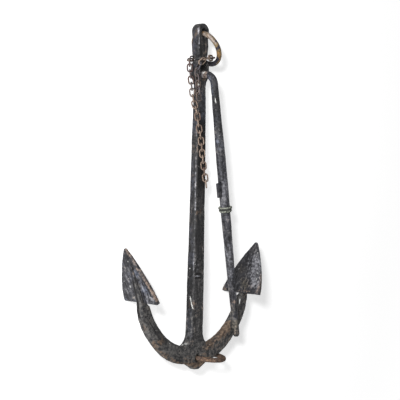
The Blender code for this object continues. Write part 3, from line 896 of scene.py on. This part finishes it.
# Marks of the palms, fibres and dents of their seen faces, each by the palm's node.
PALM_MARKS = {
    "palm_left": (
        Patch(RUST, (-308, -3.5, 392.7), (10, 14, 12), 0.55),
        # The rubbed and rusty front edge, with painted shade in a hollow inside it.
        Streak(RUST, (-305.7, -6.7, 386.7), (-283.8, -27.5, 338.6), 3, 0.45),
        Streak(RUST, (-283.8, -27.5, 338.6), (-264.9, -48, 296.9), 3, 0.5),
        Streak(RUST, (-264.9, -48, 296.9), (-235.8, -63.8, 245), 4.5, 0.62),
        Facing(RUST, (0, -0.94, 0.34), (200, 410), 0.34, 0.6),
        Streak(SOOT_AND_SHADE, (-269.2, -36.4, 305.5), (-246.1, -51.1, 256.2), 3.5, 0.75),
        # Blue scale between the rib and the edge, paler and greyer towards the bottom.
        Patch(SHEEN, (-278.4, -15.9, 327.1), (14, 10, 18), 0.85),
        Patch(SHEEN, (-258.2, -27.3, 280.3), (20, 14, 35), 0.8),
        Patch(WORN_AND_HIGHLIGHT, (-240, -38, 250), (16, 18, 22), 0.52),
        Streak(WORN_AND_HIGHLIGHT, (-261.6, -22.7, 290.4), (-248.2, -30.2, 258.2), 5.5, 0.5),
        Streak(WORN_AND_HIGHLIGHT, (-273.7, -16.9, 315.5), (-262.7, -20.8, 292.4), 3, 0.45),
        Patch(SOOT_AND_SHADE, (-289.5, -9.9, 352.6), (20, 8, 20), 0.35),
        # The rear half is an even scuffed grey.
        Patch(WORN_AND_HIGHLIGHT, (-271.5, 41.2, 310.5), (40, 30, 60), 0.12),
        Patch(LIME, (-258.2, 30.6, 281.8), (4.5, 3.5, 5), 0.8),
        Patch(RUST, (-269.3, 26.4, 306.5), (8, 6, 10), 0.45),
        # Painted shade in a groove.
        Streak(SOOT_AND_SHADE, (-302.4, -0.9, 378.7), (-276, 9, 330), 4, 0.7),
        Patch(LIME, (-294.6, 4.9, 361.7), (3, 3, 4), 0.8),
        # Painted shade along the palm's bottom edge.
        Streak(SOOT_AND_SHADE, (-233, 70, 238), (-233, -60, 238), 3.4, 0.45),
    ),
    "palm_right": (
        Facing(SOOT_AND_SHADE, (-0.92, 0, 0.39), (200, 420), 0.16, 0.6),
        Patch(SOOT_AND_SHADE, (260, 26, 315), (30, 30, 50), 0.32),
        Streak(RUST, (260, -64, 302), (232, -76, 240), 5.4, 0.95),
        Streak(RUST, (230, -70, 240), (229.2, 75.1, 240), 4.2, 0.62),
        Streak(RUST, (229.1, 78.1, 240), (242, 70, 265), 4.2, 0.6),
        Patch(EARTH, (241.2, -8, 266), (20, 30, 24), 0.6),
        # Paler and scuffed towards the upper right edge.
        Patch(WORN_AND_HIGHLIGHT, (279, -22, 350), (34, 40, 50), 0.44),
        Patch(WORN_AND_HIGHLIGHT, (258, -40, 306), (34, 42, 50), 0.44),
        Patch(WORN_AND_HIGHLIGHT, (240, -56, 264), (22, 26, 26), 0.36),
        Patch(RUST, (240, -50, 260), (20, 30, 20), 0.34),
    ),
}
PALM_RIDGES = {
    "palm_left": (
        Ridge((-302.4, -0.9, 378.7), (-276, 9, 330), 2.2, -0.7),
        Ridge((-290.2, -17.5, 350.7), (-262.6, -28.7, 290.4), 2, 0.6),
        Ridge((-278.1, -31.3, 325.6), (-246.1, -49.1, 255.2), 2.6, -0.8),
        Ridge((-271.5, 14.3, 310.5), (-251.3, 18.6, 262.2), 2.4, -0.6),
    ),
    "palm_right": (
        Ridge((274.1, 13.5, 339.6), (250.1, 9.8, 289.7), 3, -0.6),
        Ridge((261.1, -45.4, 311.6), (234.8, -55.4, 254.9), 2.8, 0.5),
        Ridge((267.6, -35, 325.6), (237, -42.2, 259.9), 2.4, -0.5),
    ),
}


@dataclass
class Forging:
    """The shank, crown and arms in one forging, and the two palms welded on it."""

    voxel: float = 1.8
    palm_voxel: float = 1.05
    calm: tuple[Patch, ...] = (
        Patch(SOOT_AND_SHADE, (0, 0, RING_HOLE_HEIGHT), (17, 30, 17)),
        Patch(SOOT_AND_SHADE, CROWN_HOLE, (15, 30, 15)),
        Patch(SOOT_AND_SHADE, (0, 0, EYE_HEIGHT), (22, 30, 20)),
    )
    wear: Wear = Wear(crust=0.8, worn_edges=0.16, seed=1)
    palm_wear: Wear = Wear(
        crust=0.6, swell=0.7, rust_patches=0.15, rust_edges=0.18, worn_edges=0.20, sheen=0.10,
        seed=9,
    )
    palm_lean: float = 0.381
    palm_rise: float = 0.925

    def build(self) -> list[Piece]:
        """Builds the forging and its palms."""
        shank = WornCopy(
            "shank_and_arms", "forged_shank_and_arms", "anchor", "pitted_black_iron", FORGED_IRON,
            self.voxel, 1, self.wear, SHANK_MARKS + ARM_MARKS, self.calm, FORGING_RIDGES,
            ForgedGrain(),
        )
        palms = [
            WornCopy(
                node, f"worn_{node}", "anchor", "palm_plate_iron", PALM_IRON, self.palm_voxel, 2,
                replace(self.palm_wear, seed=self.palm_wear.seed + side), PALM_MARKS[node], (),
                PALM_RIDGES[node], StraightGrain((side * self.palm_lean, 0, self.palm_rise), 5.0),
            )
            for side, node in ((-1, "palm_left"), (1, "palm_right"))
        ]
        return [piece.make() for piece in (shank, *palms)]


# Marks of the stock's bar, from the eye down to its foot, and the lumps on it in the eye.
STOCK_MARKS = (
    # Pale and rusty lumps where it lies in the eye.
    Patch(LIME, (-12, -27, 962), (6, 8, 5), 0.5),
    Patch(RUST, (-10, -27, 954), (12, 14, 14), 1),
    Patch(WORN_AND_HIGHLIGHT, (-10, -22, 953), (6, 6, 8), 0.6),
    # Dark over the bend and bluish below it, with a violet-grey streak inside the bend.
    Patch(SOOT_AND_SHADE, (8, -66, 890), (30, 20, 80), 0.5),
    Patch(SOOT_AND_SHADE, (24, -64, 800), (30, 20, 60), 0.34),
    Streak(SHEEN, (-10, -48, 945), (4, -62, 880), 8, 0.5),
    Patch(SHEEN, (35, -60, 740), (30, 20, 100), 0.2),
    # White streak below the bend, and bluish flecks under it.
    Streak(LIME, (4.2, -64.4, 879), (8.3, -65.5, 864), 2.2, 0.72),
    Streak(LIME, (11, -63.5, 848), (13, -63, 838), 1.6, 0.24),
    Streak(WORN_AND_HIGHLIGHT, (30, -64, 770), (40, -64, 735), 4.5, 0.45),
    Streak(LIME, (26, -64, 787), (29, -64, 776), 1.8, 0.6),
    # Greyer between the bend and the key, brown-black below the palm, brown foot.
    Patch(WORN_AND_HIGHLIGHT, (66, -56, 560), (20, 30, 120), 0.48),
    Patch(WORN_AND_HIGHLIGHT, (115, -44, 350), (20, 30, 100), 0.5),
    Patch(EARTH, (172, -30, 150), (30, 30, 80), 0.45),
    Patch(RUST, (173, -34, 103), (20, 30, 20), 0.45),
    Patch(RUST, (148, -42, 212), (20, 20, 8), 0.5),
)
STOCK_RIDGES = (
    Ridge((-8, -20, 962), (-2, -22, 960), 4, 0.8),
    Ridge((-10, -22, 952), (-4, -22, 948), 3, 0.6),
)


@dataclass
class FoldingStock:
    """The stowed stock: a bent round bar, its key and the loose-fitting collar rusted on it."""

    voxel: float = 1.2
    key_voxel: float = 0.8
    leg: Point = (0.198, 0.080, -0.977)
    calm: tuple[Patch, ...] = (Patch(SOOT_AND_SHADE, (0, 0, EYE_HEIGHT), (20, 22, 20)),)
    wear: Wear = Wear(
        crust=0.55, swell=0.35, hammer=0.25, hammer_size=12, pitting=0.45, rust=-0.10,
        rust_patches=0.25, rust_edges=0.0, worn_edges=0.0, earth=0.12, seed=21,
    )
    small_wear: Wear = Wear(
        swell=0.2, swell_size=14, hammer=0.15, hammer_size=6, scale_step=0.12, scale_size=6,
        pitting=0.25, pit_size=3, seed=33,
    )
    collar_outline: tuple[Span, ...] = (
        (16.9, 7.4), (20.4, 7.4), (22.4, 6.6), (23.1, 4.8), (23.1, 2.0), (22.2, 0.4), (20.4, -0.8),
        (20.2, -2.0), (21.2, -3.2), (21.6, -5.2), (21.0, -8.6), (19.6, -10.4), (16.9, -10.8),
    )
    band_crust: Span = (3.0, 5.5)
    lip_crust: Span = (3.0, 6.0)
    groove: float = -1.0
    groove_width: float = 1.8

    def build(self) -> list[Piece]:
        """Builds the bar, its key and its collar."""
        place = ("folding_stock", "stock_bar_iron", STOCK_IRON)
        bar = WornCopy(
            "stock", "worn_folding_stock", *place, self.voxel, 14, self.wear, STOCK_MARKS,
            self.calm, STOCK_RIDGES, StraightGrain(self.leg),
        )
        key = WornCopy("stock_key", "worn_stock_key", *place, self.key_voxel, 2, self.small_wear)
        return [bar.make(), key.make(), self.collar()]

    def collar(self) -> Piece:
        """Spins the collar, a rounded band with a groove round it and a lower, narrower lip."""
        draft = bmesh.new()
        verts = [draft.verts.new((radius, height, 0)) for radius, height in self.collar_outline]
        for pair in zip(verts, verts[1:] + verts[:1]):
            draft.edges.new(pair)
        bmesh.ops.subdivide_edges(draft, edges=draft.edges[:], cuts=2)
        mesh = spun(draft, "crusted_stock_collar", 120)
        heights = Skin(mesh).points[:, 1]
        pose = pose_of("stock_collar")
        if AXES.direction((0, 0, 1)).dot(pose.col[1].to_3d()) < 0:
            pose = pose @ Matrix.Rotation(math.pi, 4, "X")
        mesh.transform(pose)
        crust = 0.55 * ease(heights, *self.band_crust) + 0.45 * ease(-heights, *self.lip_crust)
        groove = np.exp(-np.square((heights - self.groove) / self.groove_width))
        # The groove is painted dark as shade.
        weather(Skin(mesh), self.small_wear, extra={LIME: crust, SOOT_AND_SHADE: 1.1 * groove})
        return finish_piece(
            new_piece("crusted_stock_collar", mesh), COLLAR_IRON.build(), "folding_stock",
            "limed_collar_iron", "stock_collar",
        )


def pose_of(node: str) -> Matrix:
    """Where a flat closed solid lies: its centre, with its longest way as Z and its flat way as Y.

    Args:
        node: A CAD node with three different sizes about its middle, such as a link or a ring.

    Returns:
        A matrix from the solid's own axes to the row frame, in metres.
    """
    corners = read(frame["nodes"][node].data.vertices, "co").round(5)
    points = np.unique(corners, axis=0).astype(float)
    centre = points.mean(axis=0)
    _, ways = np.linalg.eigh(np.cov((points - centre).T))
    through, along = Vector(ways[:, 0]), Vector(ways[:, 2])
    turn = Matrix((through.cross(along), through, along)).transposed().to_4x4()
    return Matrix.Translation(centre) @ turn


@dataclass
class RoundRing:
    """A forged ring of round bar, a little flattened and thinned where it bears in its hole."""

    node: str
    name: str
    slot: str
    finish: IronFinish
    radius: float
    rod: float
    markings: Sequence[Marking]
    wear: Wear
    bearing: Point
    bearing_reach: float = 12.0
    thinning: float = 0.5
    wasting: float = 0.25
    around: int = 300
    across: int = 44

    def make(self) -> Piece:
        """Builds the ring: the bar's outline spun once round the ring's middle, and worn."""
        draft = bmesh.new()
        outline = bmesh.ops.create_circle(draft, segments=self.across, radius=self.rod)["verts"]
        bmesh.ops.translate(draft, verts=outline, vec=(self.radius, 0, 0))
        mesh = spun(draft, self.name, self.around)
        mesh.transform(pose_of(self.node))
        skin = Skin(mesh)
        away = np.linalg.norm(skin.site().points - self.bearing, axis=1)
        skin.push(-self.thinning * np.exp(-np.square(away / self.bearing_reach)) - self.wasting)
        weather(skin, self.wear, self.markings)
        piece = new_piece(self.name, mesh)
        return finish_piece(piece, self.finish.build(), self.node, self.slot, self.node)


# Marks of the head ring, from its hole round to its lowest point: a painted highlight on its upper
# part, painted shade along its edges and over its lowest part, and dark flecks.
HEAD_RING_MARKS = (
    Patch(SHEEN, (5, -30, 1085), (20, 30, 20), 0.8),
    Streak(SHEEN, (0, -40, 1072), (10, -56, 1056), 6, 0.55),
    Streak(SOOT_AND_SHADE, (16, -30, 1092), (30, -62, 1060), 4.5, 0.95),
    Patch(SOOT_AND_SHADE, (23, -64, 1050), (7, 9, 13), 1),
    Patch(SOOT_AND_SHADE, (12, -56, 1062), (5, 6, 5), 0.8),
    Patch(SOOT_AND_SHADE, (18, -54, 1040), (4, 8, 6), 0.7),
    Streak(SOOT_AND_SHADE, (4, -44, 1052), (16, -46, 1030), 4, 0.75),
    Patch(RUST, (30, -52, 1020), (20, 20, 22), 0.3),
    Streak(SOOT_AND_SHADE, (32, -40, 1008), (48, -10, 998), 11, 1.1),
    Streak(SOOT_AND_SHADE, (48, -10, 998), (52, 15, 1004), 11, 0.9),
)
CROWN_RING_MARKS = (
    Patch(RUST, (18, -30, 36), (20, 30, 20), 0.5),
    Patch(WORN_AND_HIGHLIGHT, (85, -55, 36), (30, 20, 20), 0.15),
)


@dataclass
class Rings:
    """The head ring, let down over the head's right side, and the crown ring."""

    wear: Wear = Wear(
        swell=0.25, swell_size=25, hammer=0.2, hammer_size=9, scale_step=0.15, scale_size=9,
        pitting=0.3, pit_size=4, rust=0.2, worn_edges=0.0, seed=41,
    )

    def build(self) -> list[Piece]:
        """Builds both rings."""
        head = RoundRing(
            "head_ring", "worn_head_ring", "worn_ring_iron", HEAD_RING_IRON, 54, 8.5,
            HEAD_RING_MARKS, self.wear, (0, 0, RING_HOLE_HEIGHT),
        )
        crown = RoundRing(
            "crown_ring", "rusted_crown_ring", "rusted_ring_iron", CROWN_RING_IRON, 57, 8.2,
            CROWN_RING_MARKS, self.wear, CROWN_HOLE,
        )
        return [ring.make() for ring in (head, crown)]


@dataclass
class Chain:
    """Short links of bent round wire, each butt-welded at one end and worn thin where it bears."""

    tail_links: int = 10
    links: int = 37
    wire: float = 2.5
    bend: float = 7.8
    straight: float = 5.2
    bend_steps: int = 14
    straight_steps: int = 6
    sides: int = 16
    weld: float = 0.22
    weld_reach: float = 3.0
    bearing_wear: float = 0.35
    bearing_from: float = 3.0
    wear: Wear = Wear(
        swell=0.12, swell_size=9, hammer=0.08, hammer_size=4, scale_step=0.12, scale_size=3.5,
        pitting=0.18, pit_size=2.2, worn_edges=0.0, seed=55,
    )
    # First link, sheen and rust: those up the side and round the neck are greyer than the tail.
    shades: tuple[Point, ...] = (
        (1, 0.0, 0.15), (16, 0.60, 0.30), (22, 0.62, 0.18), (29, 0.35, 0.15), (32, 0.76, 0.16),
    )

    def link_mesh(self, name: str) -> Mesh:
        """One link, long along Z and flat along Y, about its middle.

        Args:
            name: The mesh's name.

        Returns:
            A closed tube: a straight, a half round, a straight and a half round.
        """
        draft = bmesh.new()
        circle = bmesh.ops.create_circle(draft, segments=self.sides, radius=self.wire)["verts"]
        bmesh.ops.translate(draft, verts=circle, vec=(self.bend, 0, -self.straight))
        ring = circle + draft.edges[:]
        for side in (1, -1):
            for _ in range(self.straight_steps):
                edges = [item for item in ring if isinstance(item, bmesh.types.BMEdge)]
                made = bmesh.ops.extrude_edge_only(draft, edges=edges)["geom"]
                verts = [item for item in made if isinstance(item, bmesh.types.BMVert)]
                step = side * 2 * self.straight / self.straight_steps
                bmesh.ops.translate(draft, verts=verts, vec=(0, 0, step))
                ring = verts + [edge for edge in draft.edges if set(edge.verts) <= set(verts)]
            ring = bmesh.ops.spin(
                draft, geom=ring, cent=(0, 0, side * self.straight), axis=(0, -1, 0), angle=math.pi,
                steps=self.bend_steps,
            )["geom_last"]
        return sealed(draft, name, 0.02)

    def link(self, number: int, material: bpy.types.Material) -> Piece:
        """Builds one link at its solid's place.

        Args:
            number: Its number, from 1 at the tail's free end.
            material: The chain's finish.

        Returns:
            The link.
        """
        node, name = f"chain_link_{number:02d}", f"wire_link_{number:02d}"
        mesh = self.link_mesh(name)
        skin = Skin(mesh)
        places, height = skin.points, skin.points[:, 2]
        ends = places * np.array((1, 0, 1))
        ends[:, 2] -= np.clip(height, -self.straight, self.straight)
        inward = -(ends * skin.normals()).sum(axis=1) / np.maximum(np.linalg.norm(ends, axis=1), 1)
        bearing = ease(np.abs(height) - self.straight, self.bearing_from, self.bend)
        weld = np.exp(-np.square((height + self.straight + self.bend) / self.weld_reach))
        skin.push(self.weld * weld - self.bearing_wear * bearing * np.clip(inward, 0, 1))
        mesh.transform(pose_of(node))
        _, sheen, rust = [shade for shade in self.shades if shade[0] <= number][-1]
        wear = replace(self.wear, sheen=sheen, rust=rust, seed=self.wear.seed + number)
        # The inner side of each link is painted near-black as shade.
        weather(Skin(mesh), wear, extra={SOOT_AND_SHADE: 0.75 * ease(inward, 0.1, 0.8)})
        body = "chain_tail" if number <= self.tail_links else "anchor"
        return finish_piece(new_piece(name, mesh), material, body, "rusted_chain_iron", node)

    def build(self) -> list[Piece]:
        """Builds every link."""
        material = CHAIN_IRON.build()
        return [self.link(number, material) for number in range(1, self.links + 1)]


@dataclass(frozen=True)
class Scar:
    """One barnacle's limy base: its place in the anchor's own axes, its radius and its height."""

    place: Point
    radius: float
    height: float = 0.7


@dataclass
class BarnacleScars:
    """Low calcite rings and flecks left on a piece by barnacles."""

    name: str
    host: Piece
    body: str
    scars: Sequence[Scar]
    ribs: int = 7
    rib_depth: float = 0.10
    unevenness: float = 0.25
    crater_depth: float = 0.45
    crater_radius: float = 0.45

    def add_scar(self, draft: Draft, scar: Scar, tree: BVHTree, seed: int) -> None:
        """Adds one scar, sunk by half in the host's surface.

        Args:
            draft: Where it is added, in metres.
            scar: Which scar.
            tree: The host's surface.
            seed: What makes its outline its own.
        """
        near, normal, _, _ = tree.find_nearest(AXES.world(scar.place))
        turn = normal.to_track_quat("Z", "Y").to_matrix()
        ball = bmesh.ops.create_uvsphere(draft, u_segments=2 * self.ribs, v_segments=8, radius=1.0)
        for vert in ball["verts"]:
            x, y, z = vert.co
            angle = math.atan2(y, x)
            spread = 1 + self.rib_depth * math.cos(self.ribs * angle)
            around = Vector((math.cos(angle), math.sin(angle), 3.1 * seed))
            spread += self.unevenness * noise.noise(around)
            spread *= scar.radius
            rise = scar.height * z
            if z > 0:
                out = math.hypot(x, y) / self.crater_radius
                rise *= 1 - self.crater_depth * math.exp(-(out**2))
            vert.co = near + turn @ Vector((x * spread, y * spread, rise)) * MM

    def build(self) -> Piece:
        """Builds the host's scars as one piece."""
        tree = BVHTree.FromObject(self.host, bpy.context.evaluated_depsgraph_get())
        draft = bmesh.new()
        for seed, scar in enumerate(self.scars):
            self.add_scar(draft, scar, tree, seed)
        bmesh.ops.recalc_face_normals(draft, faces=draft.faces[:])
        piece = new_piece(self.name, mesh_of(draft, self.name))
        return finish_piece(piece, SCAR_LIME.build(), self.body, "limed_collar_iron")


RIGHT_PALM_SCARS = (
    Scar((288.4, -21.3, 368.7), 3.4),
    Scar((282.8, -21.9, 356.8), 2.4),
    Scar((260.6, 38.6, 310.8), 2.4),
    Scar((256.1, -50.5, 302.6), 2.8),
    Scar((247.1, -53.2, 283.9), 2.8),
    Scar((243.5, -61.7, 273.8), 2),
    Scar((236.8, 64.7, 255.9), 2),
)
LEFT_PALM_SCARS = (
    Scar((-258, 31.1, 281.6), 3.2),
    Scar((-269.2, 27, 306.5), 1.8),
    Scar((-264.9, 52.9, 296.4), 1.8),
    Scar((-293.9, 5.6, 360.9), 1.8),
    Scar((-248, 15, 262), 1.6),
)
SHANK_SCARS = (
    Scar((-25.2, 0.7, 328.5), 3),
    Scar((-20.1, -17, 343.2), 1.8),
    Scar((-150, -12, 118), 1.8),
    Scar((-128, -14, 98), 1.6),
    Scar((15, 15, 700), 2.6),
    Scar((19, 13, 430), 2.2),
    Scar((150, 15, 90), 2.6),
)
STOCK_SCARS = (
    Scar((151.8, -45.1, 240), 2.4),
    Scar((137, -44, 259), 1.4),
    Scar((30, -64, 760), 1.6),
)


@dataclass(frozen=True)
class Lamp:
    """A soft lamp: side and rise in degrees, power in watts, size and distance in metres."""

    name: str
    side: float
    rise: float
    power: float
    size: float
    distance: float = 3.6


def outward(side: float, rise: float) -> Vector:
    """The direction turned some degrees from the front to the right, and raised some degrees."""
    turn, tilt = math.radians(side), math.radians(rise)
    flat = math.cos(tilt)
    return Vector((math.sin(turn) * flat, -math.cos(turn) * flat, math.sin(tilt)))


@dataclass(frozen=True)
class Studio:
    """A pale floor, soft light and the camera, which looks down on the anchor's left front edge.

    The camera's place is in millimetres and the floor's sizes are in metres.
    """

    side: float = -46.8
    rise: float = 1.1
    roll: float = 1.33
    distance: float = 3250.0
    aim: Point = (0.0, 0.0, 560.0)
    shift: Span = (9.4, -9.4)
    lens: float = 90.0
    sensor: float = 36.0
    sky: float = 0.24
    floor_bounce: str = "#bcbcbc"
    floor_tint: str = "#f2f2f2"
    floor_glow: float = 0.50
    floor_size: float = 14.0
    floor_fade: Span = (0.95, 1.7)
    lamps: tuple[Lamp, ...] = (
        Lamp("key", -104.0, 37.0, 105.0, 0.45),
        Lamp("side", -84.0, 13.0, 120.0, 1.8),
    )

    def camera(self) -> None:
        """Makes the camera."""
        over, lift = self.shift
        back, right = outward(self.side, self.rise), outward(self.side + 90, 0)
        up = back.cross(right)
        place = Vector(self.aim) + back * self.distance + right * over + up * lift
        cos, sin = math.cos(math.radians(self.roll)), math.sin(math.radians(self.roll))
        ways = (right * cos + up * sin, up * cos - right * sin, back)
        turn = Matrix([AXES.direction(way) for way in ways]).transposed()
        data = bpy.data.cameras.new("camera")
        data.lens = self.lens
        data.sensor_width = self.sensor
        data.clip_end = 50
        camera = bpy.data.objects.new("camera", data)
        camera.matrix_world = Matrix.Translation(AXES.world(place)) @ turn.to_4x4()
        bpy.context.scene.collection.objects.link(camera)
        bpy.context.scene.camera = camera

    def background_rays(self, tree: Tree) -> Socket:
        """1 for the rays that show the background itself or its mirror image."""
        seen = add_node(tree, "LightPath", output="Is Camera Ray")
        for ray in ("Is Glossy Ray", "Is Transmission Ray"):
            more = add_node(tree, "LightPath", output=ray)
            seen = add_node(tree, "Math", {"operation": "MAXIMUM", 0: seen, 1: more})
        return seen

    def world(self) -> None:
        """Makes an even white sky."""
        world = bpy.data.worlds.new("studio")
        bpy.context.scene.world = world
        world.use_nodes = True
        tree = world.node_tree
        tree.nodes.clear()
        lit, seen = (
            add_node(tree, "Background", {"Color": WHITE, "Strength": strength})
            for strength in (self.sky, 1.0)
        )
        mixed = add_node(tree, "MixShader", {0: self.background_rays(tree), 1: lit, 2: seen})
        add_node(tree, "OutputWorld", {"Surface": mixed})

    def board(self) -> bpy.types.Material:
        """Makes the floor's finish, a matt board that brightens to the sky's own white far off."""
        material = bpy.data.materials.new("matt_white_board")
        material.use_nodes = True
        tree = material.node_tree
        tree.nodes.clear()
        seen = self.background_rays(tree)
        tint = blended(tree, seen, self.floor_bounce, self.floor_tint)
        board = add_node(tree, "BsdfDiffuse", {"Color": tint})
        strength = plus(tree, seen, self.floor_glow, 0.0)
        glow = add_node(tree, "Emission", {"Color": WHITE, "Strength": strength})
        lit = add_node(tree, "AddShader", {0: board, 1: glow})
        place = add_node(tree, "TexCoord", output="Object")
        away = add_node(tree, "VectorMath", {"operation": "LENGTH", 0: place}, "Value")
        far = eased(tree, away, *self.floor_fade)
        share = add_node(tree, "Math", {"operation": "MULTIPLY", 0: far, 1: seen})
        white = add_node(tree, "Emission", {"Color": WHITE, "Strength": 1.0})
        mixed = add_node(tree, "MixShader", {0: share, 1: lit, 2: white})
        add_node(tree, "OutputMaterial", {"Surface": mixed})
        return material

    def floor(self) -> None:
        """Makes the floor that the anchor lies on."""
        draft = bmesh.new()
        bmesh.ops.create_grid(draft, x_segments=1, y_segments=1, size=self.floor_size / 2)
        floor = new_piece("floor", mesh_of(draft, "floor"))
        floor.data.materials.append(self.board())

    def light(self, lamp: Lamp) -> None:
        """Makes a round soft lamp that looks at the anchor's middle."""
        data = bpy.data.lights.new(lamp.name, "AREA")
        data.shape = "DISK"
        data.size = lamp.size
        data.energy = lamp.power
        back = outward(lamp.side, lamp.rise)
        aimed = back.to_track_quat("Z", "Y").to_matrix().to_4x4()
        light = bpy.data.objects.new(lamp.name, data)
        light.matrix_world = Matrix.Translation(back * lamp.distance) @ aimed
        bpy.context.scene.collection.objects.link(light)

    def build(self) -> None:
        """Makes everything round the anchor."""
        bpy.context.scene.view_settings.view_transform = "Standard"
        self.camera()
        self.world()
        self.floor()
        for lamp in self.lamps:
            self.light(lamp)


def main() -> None:
    """Builds the anchor's pieces in order, then the studio."""
    logging.basicConfig(level=logging.INFO, format="%(message)s")
    shank, left_palm, right_palm = Forging().build()
    stock, _, _ = FoldingStock().build()
    Rings().build()
    Chain().build()
    hosts = (
        ("shank_scars", shank, "anchor", SHANK_SCARS),
        ("left_palm_scars", left_palm, "anchor", LEFT_PALM_SCARS),
        ("right_palm_scars", right_palm, "anchor", RIGHT_PALM_SCARS),
        ("stock_scars", stock, "folding_stock", STOCK_SCARS),
    )
    for name, host, body, scars in hosts:
        BarnacleScars(name, host, body, scars).build()
    Studio().build()


if __name__ == "__main__":
    main()
